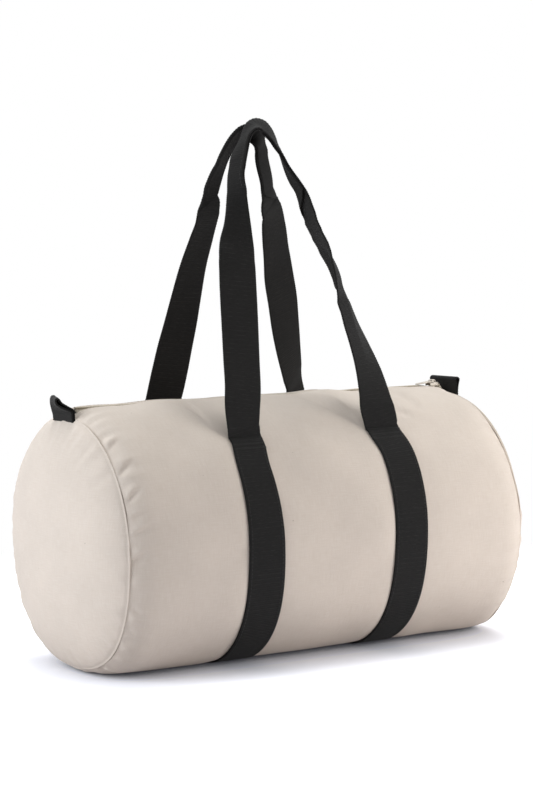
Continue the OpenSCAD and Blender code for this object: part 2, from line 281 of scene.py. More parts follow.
def seam_size(side, angle):
    """How wide the seam is as a share of the barrel. The right end's foot sits down flatter."""
    foot = 0.9 * ease((-np.cos(angle) - 0.7) / 0.3) * (np.asarray(side) > 0)
    return seam_share + (1 - seam_share) * foot


def barrel_point(x, angle):
    """A point of the canvas, from its place along the bag and its angle from the top, back positive."""
    x, angle = np.broadcast_arrays(np.asarray(x, float), np.asarray(angle, float))
    side = np.sign(x)
    from_seam = np.maximum(seam_x - np.abs(x), 0)
    turn_in = np.clip(1 - from_seam / 26, 0, 1)
    rim = seam_size(side, angle)
    share = 1 - (1 - rim) * turn_in ** 2.6
    # The top of the right end falls away sooner
    sooner = 1 - (1 - seam_share) * np.clip(1 - from_seam / 46, 0, 1) ** 2
    share = share + (sooner - share) * ease(np.cos(angle) / 0.8) * (side > 0)
    swell = 1.1 * (1 - near_strap(x, 26)) * np.clip(from_seam / 25, 0, 1)
    swell += 0.3 * (1 - near_strap(x, 24)) * sum(
        np.sin(k * x + n * angle + p) for k, n, p in swell_waves)
    gather = np.where(side < 0, puckers(-1, angle), puckers(1, angle))
    fade = np.exp(-(from_seam / 15) ** 1.3) * (1 - np.exp(-(from_seam / 3.5) ** 2))
    swell += 1.0 * gather * fade
    swell += creased(x, angle) * np.clip(from_seam / 6, 0, 1)
    # Along the zip the cloth is held straight, and beside it it rises and falls a little
    swell *= 1 - np.exp(-(angle / 0.16) ** 2)
    swell += top_waves(x, angle)
    up = (half_height * share * sag(angle) + swell) * np.cos(angle)
    y = (half_width * share * sag(angle) + swell) * np.sin(angle)
    # The cloth lies on the ground between the straps, and on the webbing beside them
    ground = 0.5 + 1.6 * near_strap(x, 32)
    rest = 2.6
    z = ground + rest * np.logaddexp(0, (barrel_z + up - ground) / rest)
    return np.stack([x + slant(side, angle) * ease((np.abs(x) - 150) / 71) ** 2, y, z], -1)


def unit(v):
    return v / np.linalg.norm(v, axis=-1, keepdims=True)


def barrel_normal(x, angle):
    """The canvas's outward direction there."""
    step = 0.6
    along = barrel_point(x + step, angle) - barrel_point(x - step, angle)
    around = barrel_point(x, angle + step / half_width) - barrel_point(x, angle - step / half_width)
    return unit(np.cross(along, around))


def stops(marks, step):
    """Places from the first mark to the last, evenly spread between the marks."""
    places = [marks[0]]
    for low, high in zip(marks, marks[1:]):
        parts = max(1, round((high - low) / step))
        places += [low + (high - low) * (i + 1) / parts for i in range(parts)]
    return places


def mesh_object(name, points, faces, material, uv=None, normals=None, smooth=True):
    """A mesh from points in millimetres, with UVs in millimetres and normals for each face corner."""
    mesh = bpy.data.meshes.new(name)
    mesh.from_pydata((np.asarray(points, float) * MM).tolist(), [], faces)
    if uv is not None:
        layer = mesh.uv_layers.new(name="cloth")
        layer.data.foreach_set("uv", np.asarray(uv, np.float32).ravel())
    mesh.shade_smooth() if smooth else mesh.shade_flat()
    if normals is not None:
        mesh.normals_split_custom_set(np.asarray(normals, float).tolist())
    mesh.materials.append(material)
    made = bpy.data.objects.new(name, mesh)
    bpy.context.scene.collection.objects.link(made)
    return made


def ring_faces(rings, count, start=0, closed=False):
    """Quads between rings of count points each that follow one another from point start."""
    faces = []
    for i in range(rings if closed else rings - 1):
        a, b = start + i * count, start + (i + 1) % rings * count
        faces += [[a + k, b + k, b + (k + 1) % count, a + (k + 1) % count] for k in range(count)]
    return faces


def new_material(name, **constants):
    """A material with a Principled shader, whose even values are set on its own sockets."""
    material = bpy.data.materials.new(name)
    material.use_nodes = True
    shader = material.node_tree.nodes["Principled BSDF"]
    for key, value in constants.items():
        shader.inputs[key.replace("_", " ")].default_value = value
    return material, material.node_tree, shader


def cloth_coordinates(tree):
    """The two directions of the cloth, in millimetres."""
    place = add_node(tree, "ShaderNodeUVMap", {"uv_map": "cloth"})
    split = add_node(tree, "ShaderNodeSeparateXYZ", Vector=place.outputs[0])
    return place.outputs[0], split.outputs["X"], split.outputs["Y"]


def maths(tree, operation, *values):
    return add_node(tree, "ShaderNodeMath", {"operation": operation},
                    **{f"n{i}": v for i, v in enumerate(values)}).outputs[0]


def noise(tree, coordinates, size, detail=2.0, stretch=(1, 1, 1)):
    """Noise whose grains are about size millimetres, longer where stretch is more."""
    mapped = add_node(tree, "ShaderNodeMapping", Vector=coordinates,
                      Scale=[1 / (size * s) for s in stretch])
    return add_node(tree, "ShaderNodeTexNoise", Vector=mapped.outputs[0],
                    Scale=1.0, Detail=detail).outputs["Fac"]


def object_millimetres(tree):
    """Places on the object in millimetres, for pieces without a cloth direction."""
    place = add_node(tree, "ShaderNodeTexCoord").outputs["Object"]
    return add_node(tree, "ShaderNodeVectorMath", {"operation": "SCALE"}, n0=place, Scale=1000).outputs[0]


def blended(tree, share, dark, light):
    """A colour from dark to light by a share."""
    mix = add_node(tree, "ShaderNodeMix", {"data_type": "RGBA"}, Factor=share)
    mix.inputs[6].default_value = linear(dark)
    mix.inputs[7].default_value = linear(light)
    return mix.outputs[2]


def roughen(tree, shader, height, strength, depth):
    """Gives a shader the small relief of a height, depth metres deep."""
    bump = add_node(tree, "ShaderNodeBump", Strength=strength, Distance=depth, Height=height)
    tree.links.new(bump.outputs[0], shader.inputs["Normal"])


def mottled(tree, shader, dark, light, size, depth, strength=0.4):
    """Gives a material a colour that varies between two, and a relief, from one noise."""
    grain = noise(tree, object_millimetres(tree), size, 3.0)
    tree.links.new(blended(tree, grain, dark, light), shader.inputs["Base Color"])
    roughen(tree, shader, grain, strength, depth)


# Undyed cotton canvas in plain weave: matt and slightly hairy, cream with darker and lighter
# yarns, thick places in the yarn and a few brown specks of cotton seed.
canvas, tree, shader = new_material(
    "undyed_cotton_canvas", Roughness=0.92, Specular_IOR_Level=0.25, Sheen_Weight=0.12, Sheen_Roughness=0.5)
cloth, across_x, around_y = cloth_coordinates(tree)
yarns_along = noise(tree, cloth, 1.0, 2.0, (12, 1, 1))
yarns_around = noise(tree, cloth, 1.0, 2.0, (1, 12, 1))
blotches = noise(tree, cloth, 60, 4.0)
tone = blended(tree, maths(tree, "MULTIPLY", yarns_along, yarns_around), "#d8cabd", "#eae1d8")
shade = add_node(tree, "ShaderNodeMapRange", n0=blotches, n1=0.3, n2=0.7, n3=0.96, n4=1.03)
toned = add_node(tree, "ShaderNodeVectorMath", {"operation": "SCALE"}, n0=tone, Scale=shade.outputs[0])
seed_places = add_node(tree, "ShaderNodeTexVoronoi", {"feature": "F1"}, Vector=cloth, Scale=1 / 17)
seed_pick = add_node(tree, "ShaderNodeSeparateXYZ", Vector=seed_places.outputs["Color"])
seeds = maths(tree, "MULTIPLY",
              maths(tree, "LESS_THAN", seed_places.outputs["Distance"],
                    maths(tree, "MULTIPLY", seed_pick.outputs["Y"], 0.045)),
              maths(tree, "GREATER_THAN", seed_pick.outputs["X"], 0.62))
coloured = add_node(tree, "ShaderNodeMix", {"data_type": "RGBA"},
                    Factor=maths(tree, "MULTIPLY", seeds, 0.6))
tree.links.new(toned.outputs[0], coloured.inputs[6])
coloured.inputs[7].default_value = linear("#6a543c")
tree.links.new(coloured.outputs[2], shader.inputs["Base Color"])
# The real threads lie 0.7 mm apart, too fine to show, so the weave is drawn at 1.4 mm
thread_pitch = 1.4
warp = maths(tree, "SINE", maths(tree, "MULTIPLY", across_x, 2 * math.pi / thread_pitch))
weft = maths(tree, "SINE", maths(tree, "MULTIPLY", around_y, 2 * math.pi / thread_pitch))
weave = maths(tree, "MULTIPLY", warp, weft)
relief = maths(tree, "ADD", maths(tree, "MULTIPLY", weave, 0.3),
               maths(tree, "ADD", yarns_along, yarns_around))
roughen(tree, shader, relief, 0.3, 0.0004)

x_marks = [0, 95, mouth_x]
x_half = stops(x_marks, 4.4) + stops([mouth_x, slot_x], 2.1)[1:] + stops([slot_x, seam_x], 1.4)[1:]
x_lines = np.array([-x for x in reversed(x_half[1:])] + x_half)
slot_angle = math.asin(slot_y / half_width)
fold_angle = math.asin(fold_y / half_width)
angle_half = stops([0, slot_angle], 3.5 / 126) + stops([slot_angle, fold_angle, math.pi], 2.1 / 126)[1:]
angle_lines = np.array([-a for a in reversed(angle_half[1:])] + angle_half)
grid_x, grid_a = np.meshgrid(x_lines, angle_lines[:-1], indexing="ij")
outer = barrel_point(grid_x, grid_a).reshape(-1, 3)
normal = barrel_normal(grid_x, grid_a).reshape(-1, 3)
inner = outer - normal * canvas_t
inner[:, 2] = np.maximum(inner[:, 2], outer[:, 2].min() + canvas_t)


def canvas_panel(name, keep):
    """A closed piece of the barrel's cloth, over the cells of the grid that keep marks."""
    rows, lines = len(x_lines), len(angle_lines) - 1
    count = rows * lines
    faces, uv, corner_normals = [], [], []
    kept = set(zip(*np.nonzero(keep)))
    for i, j in sorted(kept):
        corners = [(i, j), (i + 1, j), (i + 1, j + 1), (i, j + 1)]
        beside = [(i, (j - 1) % lines), (i + 1, j), (i, (j + 1) % lines), (i - 1, j)]
        index = [a * lines + b % lines for a, b in corners]
        place = [(x_lines[a], angle_lines[b] * half_width) for a, b in corners]
        faces.append(index)
        uv += place
        corner_normals += [normal[k] for k in index]
        faces.append([k + count for k in reversed(index)])
        uv += list(reversed(place))
        corner_normals += [-normal[k] for k in reversed(index)]
        for e in range(4):
            if beside[e] in kept:
                continue
            a, b = index[e], index[(e + 1) % 4]
            wall = [b, a, a + count, b + count]
            out = np.cross(outer[a] - outer[b], inner[a] - outer[b])
            faces.append(wall)
            uv += [place[(e + 1) % 4], place[e], place[e], place[(e + 1) % 4]]
            corner_normals += [out / np.linalg.norm(out)] * 4
    points = np.vstack([outer, inner])
    used = np.unique(np.concatenate([np.asarray(f) for f in faces]))
    renumber = np.zeros(len(points), int)
    renumber[used] = np.arange(len(used))
    faces = [[int(renumber[k]) for k in f] for f in faces]
    made = mesh_object(name, points[used], faces, canvas, uv, corner_normals)
    return made


cell_x = np.abs((x_lines[:-1] + x_lines[1:]) / 2)[:, None]
cell_a = ((angle_lines[:-1] + angle_lines[1:]) / 2)[None, :]
in_mouth = (cell_x < mouth_x) & (np.abs(cell_a) < fold_angle)
in_slot = (cell_x < slot_x) & (np.abs(cell_a) < slot_angle)
barrel = canvas_panel("canvas_barrel", ~in_mouth & ~in_slot)
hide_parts("main_panel")
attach(barrel, "bag")


# Mouth edges: the upper edges of the same cloth beside the zip. They are free between the sewn ends of the
# zip, where the real bag lets them fold back most in the middle and not at all at the ends. The pieces are
# not folded here.
mouth_marks = [-mouth_x, -95, 0, 95, mouth_x]
# The last 13 mm at each end stay down, under the slider's pull when the zip is closed
mouth_parts = [
    (side_name, side, part, mouth_marks[part], mouth_marks[part + 1])
    for side_name, side in front_and_back
    for part in range(4)
]


def fold_mouth(piece):
    """Bakes the placement of a piece of the mouth into its mesh; the piece is not folded."""
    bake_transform(piece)


for side_name, side, part, x0, x1 in mouth_parts:
    middle_x = (x_lines[:-1] + x_lines[1:])[:, None] / 2
    keep = (middle_x > x0) & (middle_x < x1) & in_mouth & ~in_slot & (cell_a * side > 0)
    flap = canvas_panel(f"canvas_mouth_{side_name}_{part + 1}", keep)
    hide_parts(f"mouth_panel_{side_name}")
    fold_mouth(flap)


# Round ends: a disc of the same canvas at each end, pushed out by what is in the bag. Its
# edge is rolled into the seam, which shows as a thin ridge, and small puckers run in from it.
end_bulge = 28.0
seam_bead = 0.55


def end_point(side, share, angle):
    """A point of an end panel, from its share of the way from the middle to the seam."""
    share, angle = np.broadcast_arrays(np.asarray(share, float), np.asarray(angle, float))
    # The right end is flatter towards the top
    flatter = 0.26 * ease(np.cos(angle) / 0.4) * (side > 0)
    bulge = end_bulge * (1 - np.clip(share, 0, 1) ** 2.8) ** (0.74 + flatter)
    from_seam = np.maximum(1 - share, 0) * 118
    gather = puckers(side, angle)
    bulge = bulge + 0.8 * gather * np.exp(-(from_seam / 17) ** 1.4) * (1 - np.exp(-(from_seam / 4) ** 2))
    bulge = bulge + 0.7 * np.sin(3 * angle + 1 + side) * share ** 2 * (1 - share) * 4
    bulge = bulge + side * slant(side, angle) * np.clip(share, 0, 1) ** 3
    size = seam_size(side, angle) * share * (1 + (sag(angle) - 1) * share ** 2)
    up = half_height * size * np.cos(angle)
    y = half_width * size * np.sin(angle)
    ground = 0.5
    z = ground + 2.6 * np.logaddexp(0, (barrel_z + up - ground) / 2.6)
    if side < 0:
        bulge = bulge + 2.0 * np.exp(-((z - 178) / 34) ** 2) * (1 - share ** 4)
    return np.stack([side * (seam_x + bulge), y, z], -1)


def end_panel(name, side):
    """A closed round panel: rings from the middle out, with a rounded bead along the seam."""
    rings = [0.04 * i for i in range(1, 21)] + [0.8 + 0.2 * (i / 12) for i in range(1, 13)]
    angles = np.linspace(-math.pi, math.pi, 241)[:-1]
    step = 0.004
    outer, inner, places = [], [], []
    for share in rings:
        ring = end_point(side, share, angles)
        out = end_point(side, share + step, angles) - end_point(side, share - step, angles)
        around = end_point(side, share, angles + step) - end_point(side, share, angles - step)
        normal = unit(np.cross(out, around))
        normal = normal * np.sign(normal[:, :1] * side)
        outer.append(ring)
        inner.append(ring - normal * canvas_t)
        places.append(ring[:, 1:])
    # The rolled edge stands out over the seam
    rim = outer[-1]
    outward = np.array([side, 0, 0])
    radial = unit((rim - [side * seam_x, 0, barrel_z]) * [0, 1, 1])
    bead = []
    for turn in (-50, -10, 30, 70, 110, 150):
        cosine, sine = math.cos(math.radians(turn)), math.sin(math.radians(turn))
        bead.append(rim + radial * (seam_bead * sine - 0.1) + outward * (0.4 - seam_bead * cosine))
    centre = end_point(side, 0.0, np.array([0.0]))
    layers = outer[:-1] + bead + inner[-2::-1]
    points = np.vstack([centre, centre - outward * canvas_t] + layers)
    place = np.vstack([[[0, barrel_z]]] * 2 + places[:-1] + [places[-1]] * len(bead) + places[-2::-1])
    count = len(angles)
    last = 2 + (len(layers) - 1) * count
    faces = ring_faces(len(layers), count, 2)
    for k in range(count):
        after = (k + 1) % count
        faces += [[0, 2 + k, 2 + after], [1, last + after, last + k]]
    if side > 0:
        faces = [f[::-1] for f in faces]
    made = mesh_object(name, points, faces, canvas, [place[k] for f in faces for k in f])
    return made


for side_name, side in left_and_right:
    panel = end_panel(f"canvas_end_{side_name}", side)
    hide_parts(f"end_panel_{side_name}")
    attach(panel, "bag")


# Seam bindings: cotton tape folded over the raw edges of the seam inside each end, sewn flat.
binding, tree, shader = new_material(
    "cotton_binding_tape", Roughness=0.9, Specular_IOR_Level=0.2, Sheen_Weight=0.1)
mottled(tree, shader, "#c3b7a7", "#ded4c7", 0.8, 0.0003)

binding_out_r = 116.4
binding_w, binding_t = 9.6, 2.8
for side_name, side in left_and_right:
    # A flat loop with round edges: half a turn at its outer edge and half at its inner edge
    section = []
    half_t = binding_t / 2
    for middle, first in ((binding_out_r - half_t, 0), (binding_out_r - binding_w + half_t, 180)):
        for angle in np.radians(range(first, first + 181, 30)):
            section.append((middle + half_t * math.sin(angle), half_t * math.cos(angle)))
    middle_x = side * (seam_x - 1 - half_t)
    turns = np.linspace(-math.pi, math.pi, 181)[:-1]
    points = [(middle_x + x, r * math.sin(t), barrel_z + r * math.cos(t)) for t in turns for r, x in section]
    faces = [f[::-1] for f in ring_faces(len(turns), len(section), closed=True)]
    ring = mesh_object(f"binding_ring_{side_name}", points, faces, binding)
    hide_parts(f"seam_binding_{side_name}")
    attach(ring, "bag")


# Zip tape: two strips of beige woven polyester, sewn under the canvas on each side of the slot. On the bag
# it folds with the mouth; here it is cut into the same pieces and not folded. At its ends the zip stands a
# little proud of the canvas, which drops.
tape_cloth, tree, shader = new_material(
    "beige_woven_zip_tape", Roughness=0.75, Specular_IOR_Level=0.3, Sheen_Weight=0.08)
cloth, along_x, width_y = cloth_coordinates(tree)
# Wales run along the tape, 1.1 mm apart
wale_pitch = 1.1
wales = maths(tree, "SINE", maths(tree, "MULTIPLY", width_y, 2 * math.pi / wale_pitch))
yarn = noise(tree, cloth, 0.7, 2.0, (3, 1, 1))
height = maths(tree, "ADD", maths(tree, "MULTIPLY", wales, 0.5), yarn)
share = add_node(tree, "ShaderNodeMapRange", n0=height, n1=-0.2, n2=1.2).outputs[0]
tree.links.new(blended(tree, share, "#b3a795", "#dcd2c2"), shader.inputs["Base Color"])
roughen(tree, shader, height, 0.6, 0.0004)

tape_half, tape_t = 16.0, 0.7
zip_depth = canvas_t + 0.15
zip_z = barrel_z + half_height - zip_depth
proud_x = 198.0


def zip_point(x, y):
    """A point on top of the zip tape: under the canvas, but level to its ends along the middle."""
    x, y = np.broadcast_arrays(np.asarray(x, float), np.asarray(y, float))
    angle = np.arcsin(y / half_width)
    place = barrel_point(x, angle) - barrel_normal(x, angle) * zip_depth
    drop = np.clip(zip_z - barrel_point(x, 0 * x)[..., 2] + zip_depth, 0, None)
    starts = np.clip((np.abs(x) - proud_x) / 6, 0, 1)
    place[..., 2] += drop * starts * np.cos(np.clip(np.abs(y) / 8, 0, 1) * math.pi / 2) ** 2
    return place


def sheet(name, points, thickness, material, uv):
    """A closed sheet of an even thickness under a grid of points that is seen from above."""
    points = np.asarray(points, float)
    rows, lines = points.shape[:2]
    normal = unit(np.cross(np.gradient(points, axis=0), np.gradient(points, axis=1)))
    normal = normal * np.sign(normal[..., 2:])
    both = np.vstack([points.reshape(-1, 3), (points - normal * thickness).reshape(-1, 3)])
    below = rows * lines
    faces = []
    for i in range(rows - 1):
        for j in range(lines - 1):
            quad = [i * lines + j, (i + 1) * lines + j, (i + 1) * lines + j + 1, i * lines + j + 1]
            faces += [quad, [k + below for k in reversed(quad)]]
    border = [(i, 0) for i in range(rows - 1)] + [(rows - 1, j) for j in range(lines - 1)]
    border += [(i, lines - 1) for i in range(rows - 1, 0, -1)] + [(0, j) for j in range(lines - 1, 0, -1)]
    for (i, j), (k, m) in zip(border, border[1:] + border[:1]):
        a, b = i * lines + j, k * lines + m
        faces.append([b, a, a + below, b + below])
    up = np.cross(points[1, 0] - points[0, 0], points[0, 1] - points[0, 0])[2]
    if up < 0:
        faces = [f[::-1] for f in faces]
    flat = np.vstack([np.asarray(uv, float).reshape(-1, 2)] * 2)
    return mesh_object(name, both, faces, material, [flat[k] for f in faces for k in f])


for side_name, side, part, x0, x1 in mouth_parts:
    xs = np.array(stops([x0 + 0.3 * (part == 0), x1 - 0.3 * (part == 3)], 4.4))
    ys = side * np.array([0.2, 1.6, 3.2, 5, 7, 8.5, 10.5, 13, tape_half])
    grid = np.stack(np.meshgrid(xs, ys, indexing="ij"), -1)
    places = zip_point(grid[..., 0], grid[..., 1])
    tape = sheet(f"tape_{side_name}_{part + 1}", places, tape_t, tape_cloth, grid)
    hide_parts(f"zip_tape_{side_name}")
    fold_mouth(tape)


# Coil: the zip's teeth are turns of one nylon thread on each tape, which lock into each other.
# The real pitch is 0.9 mm, and it is drawn at 1.5 mm so that the turns can be seen.
def bead_tree():
    """Geometry nodes that set a rounded bead on each point, turned to the point's own directions."""
    tree = bpy.data.node_groups.new("beads_on_points", "GeometryNodeTree")
    kinds = {"Geometry": "NodeSocketGeometry", "Length": "NodeSocketFloat", "Width": "NodeSocketFloat",
             "Height": "NodeSocketFloat", "Jitter": "NodeSocketFloat", "Seed": "NodeSocketInt",
             "Material": "NodeSocketMaterial"}
    for name, kind in kinds.items():
        tree.interface.new_socket(name, in_out="INPUT", socket_type=kind)
    tree.interface.new_socket("Geometry", in_out="OUTPUT", socket_type="NodeSocketGeometry")
    given = add_node(tree, "NodeGroupInput").outputs
    along = add_node(tree, "GeometryNodeInputNamedAttribute", {"data_type": "FLOAT_VECTOR"}, Name="along")
    up = add_node(tree, "GeometryNodeInputNamedAttribute", {"data_type": "FLOAT_VECTOR"}, Name="up")
    turn = add_node(tree, "FunctionNodeAxesToRotation", {"primary_axis": "X", "secondary_axis": "Z"},
                    Primary_Axis=along.outputs[0], Secondary_Axis=up.outputs[0])
    size = add_node(tree, "ShaderNodeCombineXYZ", X=given["Length"], Y=given["Width"], Z=given["Height"])
    least = add_node(tree, "ShaderNodeMath", {"operation": "SUBTRACT"}, n0=1.0, n1=given["Jitter"])
    vary = add_node(tree, "FunctionNodeRandomValue", {"data_type": "FLOAT"},
                    n2=least.outputs[0], n3=1.0, Seed=given["Seed"])
    scaled = add_node(tree, "ShaderNodeVectorMath", {"operation": "SCALE"},
                      n0=size.outputs[0], Scale=vary.outputs[1])
    ball = add_node(tree, "GeometryNodeMeshUVSphere", Segments=8, Rings=6, Radius=0.5)
    placed = add_node(tree, "GeometryNodeInstanceOnPoints", Points=given["Geometry"],
                      Instance=ball.outputs["Mesh"], Rotation=turn.outputs[0], Scale=scaled.outputs[0])
    real = add_node(tree, "GeometryNodeRealizeInstances", Geometry=placed.outputs[0])
    rounded = add_node(tree, "GeometryNodeSetShadeSmooth", Geometry=real.outputs[0])
    coated = add_node(tree, "GeometryNodeSetMaterial", Geometry=rounded.outputs[0],
                      Material=given["Material"])
    add_node(tree, "NodeGroupOutput", Geometry=coated.outputs[0])
    return tree


bead_nodes = bead_tree()


def beads(name, points, along, up, size, material, jitter=0.06, seed=3):
    """A mesh of one bead on each point; size is length along, width and height, in millimetres."""
    mesh = bpy.data.meshes.new(name)
    mesh.from_pydata((np.asarray(points, float) * MM).tolist(), [], [])
    for key, values in (("along", along), ("up", up)):
        layer = mesh.attributes.new(key, "FLOAT_VECTOR", "POINT")
        layer.data.foreach_set("vector", np.asarray(values, np.float32).ravel())
    made = bpy.data.objects.new(name, mesh)
    bpy.context.scene.collection.objects.link(made)
    modifier = made.modifiers.new("beads", "NODES")
    modifier.node_group = bead_nodes
    values = dict(zip(("Length", "Width", "Height"), (v * MM for v in size)), Jitter=jitter, Seed=seed,
                  Material=material)
    for item in bead_nodes.interface.items_tree:
        if item.in_out == "INPUT" and item.name in values:
            modifier[item.identifier] = values[item.name]
    bpy.context.view_layer.update()
    graph = bpy.context.evaluated_depsgraph_get()
    made.data = bpy.data.meshes.new_from_object(made.evaluated_get(graph))
    made.modifiers.clear()
    return made


nylon, tree, shader = new_material("beige_nylon_coil", Roughness=0.38, Specular_IOR_Level=0.45)
mottled(tree, shader, "#bdb19c", "#d6cab6", 1.2, 0.0001, 0.2)

tooth_pitch = 1.5
tooth_size = (3.3, 1.1, 2.1)


def coil(name, side, x0, x1):
    """The turns of one half of the coil between two places: each lies across the zip."""
    first = math.ceil(x0 / tooth_pitch) * tooth_pitch + (tooth_pitch / 2 if side > 0 else 0)
    xs = np.arange(first, x1, tooth_pitch)
    middle = zip_point(xs, 0 * xs)
    middle[:, 1] = side * 1.45
    middle[:, 2] += tooth_size[2] / 2 - 0.1
    across = np.tile([0, 1.0, 0], (len(xs), 1))
    made = beads(name, middle, across, np.tile([0, 0, 1.0], (len(xs), 1)), tooth_size, nylon, 0.03)
    return made


for side_name, side, part, x0, x1 in mouth_parts:
    turns = coil(f"coil_{side_name}_{part + 1}", side, x0, x1)
    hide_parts(f"zip_teeth_{side_name}")
    fold_mouth(turns)


# Ends of the zip: the last of both tapes and of the closed coil, sewn down under the canvas.
for side_name, side in left_and_right:
    xs = side * np.array(stops([mouth_x + 0.4, slot_x], 2.1))
    ys = np.array([-16, -13, -10.5, -8.5, -7, -5, -3.2, -1.6, 0, 1.6, 3.2, 5, 7, 8.5, 10.5, 13, 16.0])
    grid = np.stack(np.meshgrid(xs, ys, indexing="ij"), -1)
    tail = sheet(f"zip_tail_{side_name}", zip_point(grid[..., 0], grid[..., 1]), tape_t, tape_cloth, grid)
    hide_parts(f"zip_end_{side_name}")
    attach(tail, "bag")
    for half_name, half_side in front_and_back:
        span = sorted((side * (mouth_x + 0.4), side * (slot_x - 1)))
        turns = coil(f"zip_tail_coil_{side_name}_{half_name}", half_side, *span)
        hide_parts(f"zip_end_{side_name}")
        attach(turns, "bag")


# Zip stitching: a row of natural cotton thread on each side of the slot holds the tape.
natural_thread, tree, shader = new_material("natural_cotton_thread", Roughness=0.85, Specular_IOR_Level=0.2)
mottled(tree, shader, "#d2c6b6", "#e6dccf", 0.5, 0.0001)
black_thread, tree, shader = new_material("black_polyester_thread", Roughness=0.6, Specular_IOR_Level=0.3)
mottled(tree, shader, "#181716", "#302e2c", 0.5, 0.0001)
stitch_pitch = 3.6


def on_path(rows, run, where):
    """Rows of three values, given at their distances along a path, at some other distances."""
    return np.stack([np.interp(where, run, rows[:, c]) for c in range(3)], -1)


def stitches(name, path, normals, pitch, size, material):
    """A row of running stitches along a path."""
    path = np.asarray(path, float)
    run = np.concatenate([[0], np.cumsum(np.linalg.norm(np.diff(path, axis=0), axis=1))])
    marks = np.linspace(0, run[-1], max(2, round(run[-1] / pitch)) + 1)
    marks = (marks[1:] + marks[:-1]) / 2
    along = unit(on_path(path, run, np.minimum(marks + 0.5, run[-1])) - on_path(path, run, marks - 0.5))
    up = unit(on_path(normals, run, marks))
    made = beads(name, on_path(path, run, marks), along, up, size, material)
    return made


stitch_y = slot_y + 2.8


def zip_stitches(name, side, x0, x1):
    """The stitching on one side of the slot between two places along the bag."""
    xs = np.linspace(x0 + 0.4, x1 - 0.4, 60)
    angle = np.full_like(xs, side * math.asin(stitch_y / half_width))
    normal = barrel_normal(xs, angle)
    return stitches(name, barrel_point(xs, angle) + normal * 0.1, normal, stitch_pitch,
                    (2.9, 0.5, 0.4), natural_thread)


for side_name, side, part, x0, x1 in mouth_parts:
    row = zip_stitches(f"zip_stitches_{side_name}_{part + 1}", side, x0, x1)
    fold_mouth(row)
for side_name, side in front_and_back:
    for end_name, x0, x1 in (("left", -slot_x, -mouth_x), ("right", mouth_x, slot_x)):
        row = zip_stitches(f"zip_tail_stitches_{side_name}_{end_name}", side, x0, x1)
        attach(row, "bag")


# Slider: cast zinc under a pale lacquer, which is smooth with fine scuffs and barely metallic. A plate
# lies over the coil, with a wall down each side, a wider nose at the right, and a crown for the pull.
lacquered_zinc, tree, shader = new_material("pale_lacquer_on_zinc", Metallic=0.15)
mottled(tree, shader, "#b9b0a4", "#cbc2b6", 2.5, 0.00005, 0.25)
scuffs = noise(tree, object_millimetres(tree), 1.5, 3.0, (4, 1, 1))
rough = add_node(tree, "ShaderNodeMapRange", n0=scuffs, n1=0.3, n2=0.7, n3=0.32, n4=0.5)
tree.links.new(rough.outputs[0], shader.inputs["Roughness"])


def slab(outline, low, high, bevel):
    """A flat body with a rounded edge over a convex outline given anticlockwise in plan."""
    outline = np.asarray(outline, float)
    tangent = unit(np.roll(outline, -1, axis=0) - np.roll(outline, 1, axis=0))
    inward = np.stack([-tangent[:, 1], tangent[:, 0]], -1)
    rings = []
    for turn in (0, 30, 60, 90):
        angle = math.radians(turn)
        rings.append((low + bevel * (1 - math.sin(angle)), bevel * (1 - math.cos(angle))))
    rings = rings[::-1] + [(low + high - z, inset) for z, inset in rings]
    points = [[*(outline[k] + inward[k] * inset), z] for z, inset in rings for k in range(len(outline))]
    count = len(outline)
    ends = [list(range(count))[::-1], [(len(rings) - 1) * count + k for k in range(count)]]
    faces = ends + [f[::-1] for f in ring_faces(len(rings), count)]
    return points, faces


def bar(path, width, height, side_way):
    """A bar with rounded edges swept along a path; side_way is its width's direction."""
    path = np.asarray(path, float)
    along = unit(np.gradient(path, axis=0))
    side_way = np.asarray(side_way, float)
    section = []
    for angle in np.radians(range(0, 360, 30)):
        wide, high = math.cos(angle), math.sin(angle)
        section.append((width / 2 * math.copysign(abs(wide) ** 0.5, wide),
                        height / 2 * math.copysign(abs(high) ** 0.5, high)))
    points = []
    for place, forward in zip(path, along):
        up = np.cross(side_way, forward)
        points += [place + side_way * a + up * b for a, b in section]
    count = len(section)
    ends = [list(range(count)), [(len(path) - 1) * count + k for k in range(count)][::-1]]
    faces = ends + ring_faces(len(path), count)
    return points, faces


def joined(name, bodies, material):
    """One mesh from several closed bodies, with sharp turns kept crisp."""
    points, faces = [], []
    for body_points, body_faces in bodies:
        faces += [[k + len(points) for k in f] for f in body_faces]
        points += [tuple(p) for p in body_points]
    made = mesh_object(name, points, faces, material)
    made.data.set_sharp_from_angle(angle=math.radians(50))
    return made


def rounded_outline(length, width, power, steps=40):
    """A superellipse: a box with corners that are rounder where the power is lower."""
    turns = [2 * math.pi * k / steps for k in range(steps)]
    points = np.array([(math.cos(t), math.sin(t)) for t in turns])
    return np.copysign(np.abs(points) ** (2 / power), points) * [length / 2, width / 2]


slider_x = 198.5
slider_len, slider_w = 11.0, 9.6
slider_low, slider_top = 248.75, 252.1
plate_t = 1.2
wall_y = 4.05
plate = rounded_outline(slider_len, slider_w, 5)
plate[:, 1] *= 0.9 + 0.1 * np.clip(plate[:, 0] / 3, -1, 1)
wall = rounded_outline(slider_len - 0.8, 1.2, 5)
half_crown = [(3.4, -0.4), (3.4, 1.3), (3.2, 1.9), (2.6, 2.35), (1.8, 2.5)]
crown = [(-x, z) for x, z in half_crown] + half_crown[::-1]
place = np.array([slider_x, 0])
bodies = [slab(plate + place, slider_top - plate_t, slider_top, 0.45)]
for y in (-wall_y, wall_y):
    bodies.append(slab(wall + place + [0, y], slider_low, slider_top - 0.3, 0.3))
bodies.append(bar([(slider_x + x, 0, slider_top + z) for x, z in crown], 2.4, 1.0, (0, 1.0, 0)))
slider_body = joined("slider_body", bodies, lacquered_zinc)
